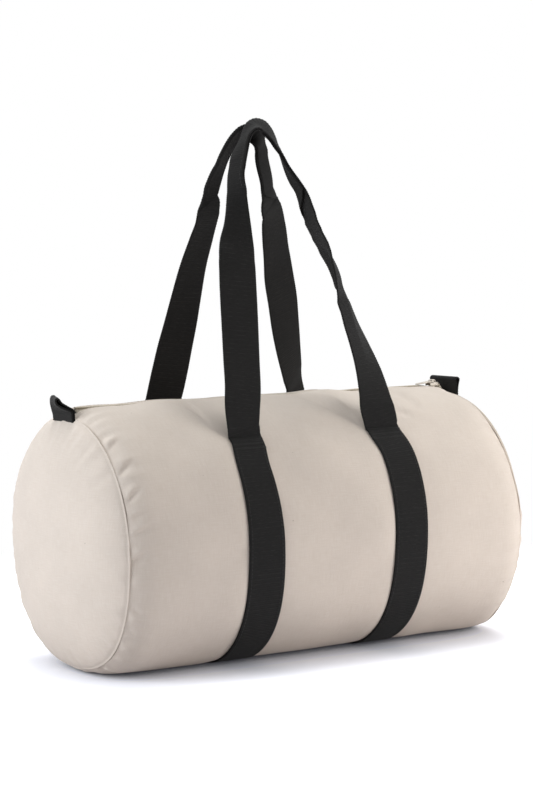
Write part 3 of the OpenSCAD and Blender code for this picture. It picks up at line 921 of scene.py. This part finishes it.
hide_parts("zip_slider")
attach(slider_body, "slider")


# Pull: a stamped tongue with a window, in which a bar turns under the slider's crown. It lies
# back along the closed coil.
pull_z = 253.4
pull_fall = 0.12
arm_y = 2.6
tongue_start, tongue_end = -5.0, -20.0
bar_path = [(slider_x, y, pull_z) for y in np.linspace(-3.4, 3.4, 9)]
tongue = rounded_outline(tongue_start - tongue_end + 1.4, 7, 3.2, 48)
tongue[:, 1] *= 1 - 0.14 * np.exp(-((tongue[:, 0] - 1.5) / 4) ** 2)
tongue_middle = np.array([slider_x + (tongue_start + tongue_end) / 2 + 0.7, 0])
bodies = [bar(bar_path, 1.4, 1.4, (1.0, 0, 0))]
for y in (-arm_y, arm_y):
    bodies.append(bar([(slider_x + x, y, pull_z) for x in np.linspace(0.3, -6.5, 8)], 1.8, 1.2, (0, 1.0, 0)))
bodies.append(slab(tongue + tongue_middle, pull_z - 0.6, pull_z + 0.5, 0.35))
slider_pull = joined("slider_pull", bodies, lacquered_zinc)
# Its own weight tips it down towards its far end
for vertex in slider_pull.data.vertices:
    vertex.co.z -= pull_fall * max(0, slider_x * MM - vertex.co.x)
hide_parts("zip_pull")
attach(slider_pull, "pull")


# Straps under the bag: black webbing 40 mm wide, woven with cross ribs and hard edges, laid
# round the barrel and sewn down along both edges from one handle's end to the other.
webbing, tree, shader = new_material(
    "black_ribbed_webbing", Roughness=0.8, Specular_IOR_Level=0.16, Sheen_Weight=0.05, Sheen_Roughness=0.4)
cloth, along_x, width_y = cloth_coordinates(tree)
fibres = noise(tree, cloth, 0.9, 3.0, (1, 6, 1))
wear = noise(tree, cloth, 45, 3.0)
fibre_tone = blended(tree, fibres, "#0f0e0e", "#201f1e")
worn = add_node(tree, "ShaderNodeMapRange", n0=wear, n1=0.3, n2=0.7, n3=0.9, n4=1.12)
# Here and there a painted highlight, a thin light line where a rib's edge would catch the light, is added to
# the colour, drawn two ribs apart to be seen
wave = maths(tree, "SINE", maths(tree, "MULTIPLY", along_x, 2 * math.pi / 4.4))
line = maths(tree, "POWER", maths(tree, "MAXIMUM", wave, 0.0), 14.0)
patchy = noise(tree, cloth, 16, 2.0, (1, 0.5, 1))
patches = add_node(tree, "ShaderNodeMapRange", n0=patchy, n1=0.45, n2=0.6, n3=0.0, n4=1.1)
# The colour carries both the wear and the painted highlight lines
wear_and_painted_highlight = maths(tree, "ADD", worn.outputs[0], maths(tree, "MULTIPLY", line, patches.outputs[0]))
tone_with_wear_and_painted_highlight = add_node(tree, "ShaderNodeVectorMath", {"operation": "SCALE"}, n0=fibre_tone, Scale=wear_and_painted_highlight)
tree.links.new(tone_with_wear_and_painted_highlight.outputs[0], shader.inputs["Base Color"])
# Warp yarns lie 1.3 mm apart across the width, over ribs that are in the mesh
warp_pitch = 1.3
warp_yarns = maths(tree, "SINE", maths(tree, "MULTIPLY", width_y, 2 * math.pi / warp_pitch))
relief = maths(tree, "ADD", maths(tree, "MULTIPLY", warp_yarns, 0.35), fibres)
roughen(tree, shader, relief, 0.5, 0.0003)

web_t = 1.8
rib_pitch = 2.2
rib_depth = 0.11
edge_bite = 0.012
rings_per_rib = 4


def fold_section(cuts, fold, flap, flap_side):
    """A cut through webbing with one edge folded over: places and normals at some cuts across it.
    The flap is the width that is folded over, and the fold its angle: 180 lies flat on the rest."""
    half = strap_w / 2
    fine = np.linspace(-half, half, 401)
    bend = 1.7
    swing = math.radians(fold)
    lean = swing / 2 * (1 - fold / 180) * flap / half
    reach = half - flap + bend * (2 - flap / half)
    heading = swing * np.clip((fine + reach) / (2 * bend), 0, 1) - swing + lean
    step = fine[1] - fine[0]
    u = np.concatenate([[0], np.cumsum((np.cos(heading[1:]) + np.cos(heading[:-1])) / 2 * step)])
    v = np.concatenate([[0], np.cumsum((np.sin(heading[1:]) + np.sin(heading[:-1])) / 2 * step)])
    u -= (u.min() + u.max()) / 2
    v -= (v.min() + v.max()) / 2
    u, v, angle = (np.interp(-flap_side * cuts, fine, values) for values in (u, v, heading))
    return np.stack([-flap_side * u, v], -1), np.stack([flap_side * np.sin(angle), np.cos(angle)], -1)


def web_strip(name, centre, across, folds=None, flap_side=-1, widths=None):
    """Webbing along a path of points one ring apart, its width along across.
    Each fold is an angle and the width of the flap that is folded over."""
    half = strap_w / 2
    # Places across the width, closer together at the edges and where a fold can be
    inside = [2 - half, -13, -7, -2.5, 0, 2.5, 7, 13]
    if folds is not None:
        inside = [1 - half] + list(range(-18, 3)) + [7, 13]
    cuts = np.array([-half, 0.4 - half] + inside + [half - 2, half - 0.4, half])
    if folds is not None and flap_side > 0:
        cuts = -cuts[::-1]
    edge = np.clip((half - np.abs(cuts)) / 0.8, 0, 1)
    thick = 0.4 + 0.6 * np.sqrt(1 - (1 - edge) ** 2)
    along = unit(np.gradient(centre, axis=0))
    across = unit(across - along * np.sum(across * along, -1, keepdims=True))
    normal = np.cross(along, across)
    rings, uv_rings = [], []
    phase = 2 * math.pi / rings_per_rib
    length = 0.0
    for i in range(len(centre)):
        length += np.linalg.norm(centre[i] - centre[i - 1]) if i else 0
        rib = math.cos(phase * i)
        fold, flap = folds[i] if folds is not None else (0.0, 0.0)
        section, facing = fold_section(cuts, fold, flap, flap_side)
        section = section * (1 + edge_bite * rib) * (1 if widths is None else widths[i])
        reach = (web_t / 2 + rib_depth * rib) * thick
        top = section + facing * reach[:, None]
        bottom = section - facing * reach[:, None]
        loop = np.vstack([top, bottom[::-1]])
        rings.append(centre[i] + loop[:, :1] * across[i] + loop[:, 1:] * normal[i])
        uv_rings.append([(length, c) for c in cuts] + [(length, 100 - c) for c in cuts[::-1]])
    count = 2 * len(cuts)
    faces = ring_faces(len(centre), count)
    # Each end is closed by a strip of quads between its two sides
    last = (len(centre) - 1) * count
    for k in range(len(cuts) - 1):
        opposite = count - 1 - k
        faces.append([k, k + 1, opposite - 1, opposite])
        faces.append([last + opposite, last + opposite - 1, last + k + 1, last + k])
    flat_uv = [p for ring in uv_rings for p in ring]
    uv = [flat_uv[k] for f in faces for k in f]
    made = mesh_object(name, np.vstack(rings), faces, webbing, uv)
    return made


def smooth_line(rows, marks, where):
    """Values on a smooth line through rows of them, each given at its mark."""
    slopes = np.gradient(rows, marks, axis=0)
    k = np.clip(np.searchsorted(marks, where, side="right") - 1, 0, len(marks) - 2)
    span = (marks[k + 1] - marks[k])[:, None]
    t = (where - marks[k])[:, None] / span
    return (
        rows[k] * (1 + 2 * t) * (1 - t) ** 2 + slopes[k] * span * t * (1 - t) ** 2
        + rows[k + 1] * t * t * (3 - 2 * t) + slopes[k + 1] * span * t * t * (t - 1)
    )


def even_path(stations):
    """A smooth path through stations, whose first three numbers are a place, at even steps."""
    stations = np.asarray(stations, float)
    gaps = np.linalg.norm(np.diff(stations[:, :3], axis=0), axis=1)
    knots = np.concatenate([[0], np.cumsum(gaps)])
    smooth = smooth_line(stations, knots, np.linspace(0, knots[-1], 4000))
    run = np.concatenate([[0], np.cumsum(np.linalg.norm(np.diff(smooth[:, :3], axis=0), axis=1))])
    count = round(run[-1] / (rib_pitch / rings_per_rib))
    even = np.linspace(0, run[-1], count + 1)
    return np.stack([np.interp(even, run, smooth[:, c]) for c in range(smooth.shape[1])], -1)


tack_angle = math.radians(43)
web_lift = web_t / 2 + 0.25


def strap_line(x, angles):
    """The middle of webbing that lies on the barrel, at some angles from the top."""
    place = barrel_point(x, angles)
    return place + barrel_normal(x, angles) * web_lift


tack_x = strap_x - 4.5
hinge_y, hinge_z = 88.387, 217.783
# Sewing draws the webbing in: by this share of its width all along, and this share more at the top
strap_draws = {-1: (0.005, 0.13), 1: (0.06, 0.0)}


def narrowed(centre):
    """The handle's width as a share: it is drawn together where it is sewn down, most on the left."""
    drawn = np.where(centre[:, 0] < 0, 0.12, 0.05)
    return 1 - drawn * np.exp(-((centre[:, 2] - hinge_z) / 24) ** 2)


for side_name, side in left_and_right:
    around = np.linspace(-tack_angle, tack_angle - 2 * math.pi, 700)
    from_tack = np.minimum(-tack_angle - around, around + 2 * math.pi - tack_angle) * half_width
    drawn_in = 4.5 * np.exp(-(from_tack / 17) ** 2) + 1.8 * np.sin(np.linspace(0, math.pi, 700)) ** 2
    centre = even_path(strap_line(side * (strap_x - drawn_in), around))
    centre[:, 2] = np.maximum(centre[:, 2], web_t / 2 + rib_depth)
    across = np.tile([1.0, 0, 0], (len(centre), 1))
    drawn, drawn_top = strap_draws[side]
    widths = 1 - drawn - drawn_top * np.exp(-((centre[:, 2] - hinge_z) / 72) ** 2)
    strap = web_strip(f"strap_{side_name}", centre, across, widths=widths)
    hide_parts(f"base_strap_{side_name}")
    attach(strap, "bag")
    # Both edges are sewn to the canvas with black thread, one stitch after another
    along = unit(np.gradient(centre, axis=0))
    normal = np.cross(along, across)
    for edge_name, edge in (("inner", -1), ("outer", 1)):
        path = centre + across * (edge * (strap_w / 2 - 3) * widths)[:, None]
        path = path + normal * (web_t / 2 + 0.12)
        row = stitches(f"strap_stitches_{side_name}_{edge_name}", path[14:-14], normal[14:-14],
                       stitch_pitch, (2.9, 0.6, 0.45), black_thread)
        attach(row, "bag")


# Bar tacks: two rows of short stitches across each sewn end of a handle, through the webbing,
# the canvas and the strap's end. They carry the whole load of the bag.
for side_name, side in front_and_back:
    spots, along, up = [], [], []
    for end in (-1, 1):
        for row in (5, 10):
            angle = side * (tack_angle + row / half_height)
            for k in range(18):
                x = end * (tack_x + 0.4) + (k - 8.5) * 1.95
                normal = barrel_normal(x, angle)
                spots.append(barrel_point(x, angle) + normal * (web_lift + web_t / 2 + 0.12))
                along.append(np.cross(normal, [1.0, 0, 0]))
                up.append(normal)
    tacks = beads(f"bar_tack_stitches_{side_name}", spots, along, up, (2.6, 0.7, 0.5), black_thread)
    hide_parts(f"bar_tacks_{side_name}")
    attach(tacks, "bag")


# Handles: the same webbing carries on past its sewn lines, up and over. Towards the top it is
# folded lengthwise and sewn into a grip of half the width. Both handles meet at the top.
def direction(plan, tilt):
    """The webbing's width direction, from its angle in plan and its tilt up, in degrees."""
    plan, tilt = np.radians(plan), np.radians(tilt)
    return np.stack([np.cos(plan) * np.cos(tilt), np.sin(plan) * np.cos(tilt), np.sin(tilt)], -1)


# Each station is a place, the width's angle in plan and its tilt, the fold's angle and its flap
front_stations = [
    (-79.4, -82.5, 228, 3.3, 0, 180, 0),
    (-78.3, -79.3, 244, 2.8, 0, 180, 0),
    (-74.2, -74, 265, 3, 0, 180, 0),
    (-70.9, -67, 290, 1.7, 0, 180, 0),
    (-67.3, -59.5, 319, 0.1, 0, 180, 0),
    (-61.9, -48, 362, -0.7, 0, 180, 0),
    (-59.8, -43.8, 378, 0.6, 0, 180, 1),
    (-57.9, -40.5, 390, 3.5, 0, 180, 2.5),
    (-55.9, -37.5, 400, -5.3, 0, 180, 6.5),
    (-52.3, -33.5, 415.5, -15.9, 0, 180, 13.5),
    (-48.8, -28, 437, -33.3, 0, 180, 19),
    (-47, -24.5, 450.5, -54.4, 5, 180, 20),
    (-46.7, -22.8, 458.1, -66.2, 9, 180, 20),
    (-45.5, -21, 465.8, -71.7, 9.5, 180, 20),
    (-42.9, -19.2, 473.5, -73, 7.5, 180, 20),
    (-40.3, -17.4, 481.2, -72.5, 6, 180, 20),
    (-36.5, -15.7, 488.9, -79.5, 8, 180, 20),
    (-32.2, -14.1, 496.6, -89, 10, 180, 20),
    (-28.2, -13, 503, -91, 9, 180, 20),
    (-23.8, -12.2, 508.7, -84, 0, 180, 20),
    (-18.7, -11.6, 512.3, -80, -22, 180, 20),
    (-12.8, -11.1, 513, -94, -42, 180, 20),
    (-7.1, -11, 511.1, -119, -42, 180, 20),
    (-2.1, -11.3, 506.5, -131, -28, 180, 20),
    (1.7, -12.1, 500.7, -131, -15, 180, 20),
    (4.7, -13.3, 493.9, -126, -8.5, 180, 20),
    (8.4, -14.6, 487.5, -121.6, -6, 180, 20),
    (10.7, -16.4, 481, -117.9, -3, 180, 20),
    (13, -18.1, 474, -113.4, 0, 180, 20),
    (16.5, -19.9, 466, -104.3, 0, 180, 20),
    (20.8, -21.8, 458, -96.8, 0, 180, 20),
    (25.1, -24, 450, -96, 0, 179, 20),
    (27.1, -26.2, 442.5, -97.6, 0, 176, 16),
    (28.9, -28.2, 435, -103, 0, 172, 7),
    (31, -30.3, 427, -106, 0, 172, 2),
    (32.3, -32.6, 419, -104.8, 0, 180, 0),
    (35.2, -34.8, 411, -104.7, 0, 60, 0),
    (38.2, -36.9, 403, -104.5, 0, 4, 6),
    (44.1, -40.5, 390, -106.9, 0, 14, 20),
    (48.3, -43.8, 378, -116.1, 0, 28, 20),
    (51, -47, 366, -121.1, 0, 34, 20),
    (51.9, -50.3, 355, -125.3, 0, 32, 20),
    (55.7, -53.4, 343, -141, 0, 28, 20),
    (58.6, -56.5, 331, -142.3, 0, 23, 20),
    (60.8, -59.6, 319, -144.8, 0, 18, 20),
    (63.3, -62.8, 308, -147.5, 0, 13, 20),
    (66.2, -66, 296, -151.3, 0, 9, 20),
    (68.9, -69.2, 284, -156, 0, 5, 20),
    (70.7, -72.2, 273, -161, 0, 0, 20),
    (72.2, -75.2, 261, -166.2, 0, 0, 20),
    (73.4, -78, 249, -172.6, 0, 0, 20),
    (74, -81, 238, -181.5, 0, 0, 20),
    (76, -82.4, 228, -181, 0, 0, 20),
    (77.3, -82.4, 222.5, -180, 0, 0, 20),
]
back_stations = [
    (-78.8, 82.5, 228, 174.6, 0, 180, 0),
    (-74.8, 79, 244, 175, 0, 180, 0),
    (-70.5, 71.9, 273, 176.7, 0, 180, 0),
    (-67.7, 65.6, 297, 180.1, 0, 180, 0),
    (-64.7, 59.1, 320, 185.4, 0, 180, 0),
    (-62, 52.6, 344, 191.7, 0, 180, 0),
    (-57.2, 43.1, 380, 200.5, 0, 180, 0),
    (-52.1, 37, 403, 205.3, 0, 180, 0),
    (-48, 32.4, 421, 209, 0, 176, 0.3),
    (-47, 29.5, 430, 208.6, 2, 168, 2),
    (-46.1, 27, 438, 207.8, 4, 168, 8),
    (-46.7, 24.8, 445, 202.9, 5, 174, 17.5),
    (-47.1, 22.9, 452.5, 199.6, 6, 180, 20),
    (-45.6, 21.2, 459, 203.1, 7, 180, 20),
    (-43.2, 19.4, 466.8, 208.9, 9, 180, 20),
    (-40, 17.8, 474.5, 217, 10.5, 180, 20),
    (-37.4, 16.4, 481.7, 219, 12.5, 180, 20),
    (-34.3, 15.4, 488, 221, 16, 180, 20),
    (-30.3, 14.2, 495.2, 224, 20, 180, 20),
    (-25.4, 13.2, 501.7, 229.5, 26, 180, 20),
    (-19.2, 12.2, 507.1, 241, 32.5, 180, 20),
    (-12.6, 11.6, 509, 262, 36, 180, 20),
    (-7.2, 11.5, 508.3, 288, 38, 180, 20),
    (-2.9, 11.8, 505.8, 328, 42, 180, 20),
    (0.1, 12.4, 502.3, 370, 35, 180, 20),
    (2.5, 13.3, 497.9, 389, 26, 180, 20),
    (4.1, 14.2, 493.3, 392, 20, 180, 20),
    (5.8, 15.4, 488, 385.1, 17.5, 180, 20),
    (6.9, 16.6, 482.2, 385, 19, 180, 20),
    (9.6, 18.4, 474.4, 385.3, 20, 180, 20),
    (12.8, 20.4, 467, 386.4, 18, 180, 20),
    (15.7, 22.4, 459, 387.5, 16, 180, 20),
    (17.7, 24.4, 451, 387.7, 14, 180, 20),
    (20.5, 26.2, 444, 390, 12, 178, 14),
    (22.5, 28.2, 436.5, 393.8, 10, 176, 4),
    (25.7, 30, 430, 389.3, 8, 180, 0.3),
    (30.6, 34, 412, 383, 4, 180, 0),
    (36.8, 40.2, 389, 380.7, 0, 180, 0),
    (43.9, 47.2, 365, 374.4, 0, 180, 0),
    (52.4, 54, 340, 373.4, 0, 180, 0),
    (59.1, 60.3, 316, 376.1, 0, 180, 0),
    (66.8, 66.9, 291, 381.9, 0, 180, 0),
    (75.2, 73.5, 265, 389.9, 0, 180, 0),
    (79.7, 77.5, 250, 394.9, 0, 180, 0),
    (80, 82, 230, 368, 0, 180, 0),
    (78.7, 82.4, 222.5, 360, 0, 180, 0),
]


def handle_path(stations, side):
    """The stations with both sewn ends added, as even places, width directions and folds."""
    ends = []
    for x, row in ((-tack_x, stations[0]), (tack_x, stations[-1])):
        on_bag = strap_line(x, side * np.array([tack_angle, tack_angle - 0.035]))
        plan = round(row[3] / 180) * 180
        ends.append([[*p, plan, 0, row[5], row[6]] for p in on_bag])
    rows = ends[0] + [list(s) for s in stations] + ends[1][::-1]
    path = even_path(rows)
    folds = np.stack([np.clip(path[:, 5], 0, 180), np.clip(path[:, 6], 0, strap_w / 2)], -1)
    return path[:, :3], direction(path[:, 3], path[:, 4]), folds


handle_lean = math.radians(14.8)
bend_length = 38.0
handle_paths = {}
for side_name, side, stations in (("front", -1, front_stations), ("back", 1, back_stations)):
    centre, across, folds = handle_path(stations, side)
    handle_paths[side_name] = centre, across, folds
    handle = web_strip(f"carry_handle_{side_name}", centre, across, folds, side, narrowed(centre))
    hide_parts(f"handle_{side_name}")
    start = Vector((0, side * hinge_y, hinge_z))
    end = start + Vector((0, -side * math.sin(handle_lean), math.cos(handle_lean))) * bend_length
    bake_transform(handle)


# End tabs: a short piece of the webbing folded into a loop, its ends caught in the end seam
# beside the zip, to hold on to while the zip is pulled.
tab_hinge_x, tab_hinge_z = 222.901, 242.294
tab_path = [(-1.0, -5), (-1.0, 1), (-1.1, 6), (-1.3, 12), (-1.8, 18), (-2.2, 22.4), (-1.5, 25.1), (0, 26.1),
            (1.5, 25.1), (2.2, 22.4), (1.8, 18), (1.3, 12), (1.1, 6), (1.0, 1), (1.0, -5)]
# Each tab has its own set. Its front and its back edge are lines of places, outward and up from the
# foot; then follows how far the foot is shifted along the bag and to the back.
tab_sets = (
    ("left", -1, [(-0.6, -5), (0, 0), (0.5, 5.4), (5.7, 8.4), (13.6, 12.6), (17.5, 18.0)],
     [(-0.4, -5), (0, 0), (1.1, 4.6), (2.0, 9.6), (1.6, 14.2), (-0.6, 17.5)], 0.8, 3.5),
    ("right", 1, [(0, -5), (0, 0), (0.2, 3.7), (0.5, 7.4), (0.8, 10.9), (1.0, 14.6)],
     [(0, -5), (0, 0), (-0.6, 3.7), (-1.4, 7.4), (-2.2, 10.9), (-3, 14.6)], -6.0, 1.5),
)
tab_marks = np.array([-5, 0, 6.5, 13, 19.5, 26.1])


def tab_middle(rise, edges, width_share):
    """Places between the tab's two layers, outward and up, at some heights of the flat loop."""
    front, back = (smooth_line(np.array(edge, float), tab_marks, rise) for edge in edges)
    return front + (back - front) * width_share


for side_name, side, front_edge, back_edge, shift_x, shift_y in tab_sets:
    path = even_path([(out, 0, up) for out, up in tab_path])
    tab = web_strip(f"end_tab_{side_name}", path, np.tile([0, 1.0, 0], (len(path), 1)))
    points = np.array([v.co for v in tab.data.vertices]) / MM
    width_share = ((points[:, 1] + strap_w / 2) / strap_w)[:, None]
    edges = front_edge, back_edge
    rise = np.clip(points[:, 2], tab_marks[0], tab_marks[-1])
    inner_rise = np.clip(rise, tab_marks[0] + 0.5, tab_marks[-1] - 0.5)
    heading = unit(tab_middle(inner_rise + 0.5, edges, width_share)
                   - tab_middle(inner_rise - 0.5, edges, width_share))
    place = tab_middle(rise, edges, width_share) + heading * (points[:, 2] - rise)[:, None]
    out = place[:, 0] + points[:, 0] * heading[:, 1]
    up = place[:, 1] - points[:, 0] * heading[:, 0]
    placed = np.stack([side * (tab_hinge_x + out + shift_x), points[:, 1] + shift_y, tab_hinge_z + up], -1)
    tab.data.vertices.foreach_set("co", (placed * MM).ravel())
    if side < 0:
        tab.data.flip_normals()
    tab.data.update()
    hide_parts(f"tab_{side_name}")
    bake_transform(tab)


# Grip stitches: one row along the open edges of each folded grip holds its two layers together.
for side_name, side in front_and_back:
    centre, across, folds = handle_paths[side_name]
    along = unit(np.gradient(centre, axis=0))
    across = unit(across - along * np.sum(across * along, -1, keepdims=True))
    normal = np.cross(along, across)
    folded = np.nonzero((folds[:, 1] > 19.9) & (folds[:, 0] > 177))[0]
    first, last = folded[0] + 8, folded[-1] - 8
    # The row is 3 mm from the edge of the half that is not folded over, on its outer face
    section, facing = fold_section(np.array([-side * (strap_w / 2 - 3.0)]), 180, strap_w / 2, side)
    out = -(across * facing[0, 0] + normal * facing[0, 1])
    path = centre + across * section[0, 0] + normal * section[0, 1] + out * (web_t / 2 + 0.1)
    row = stitches(f"grip_stitches_{side_name}", path[first:last], out[first:last],
                   stitch_pitch, (2.9, 0.6, 0.45), black_thread)
    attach(row, f"{side_name}_handle")
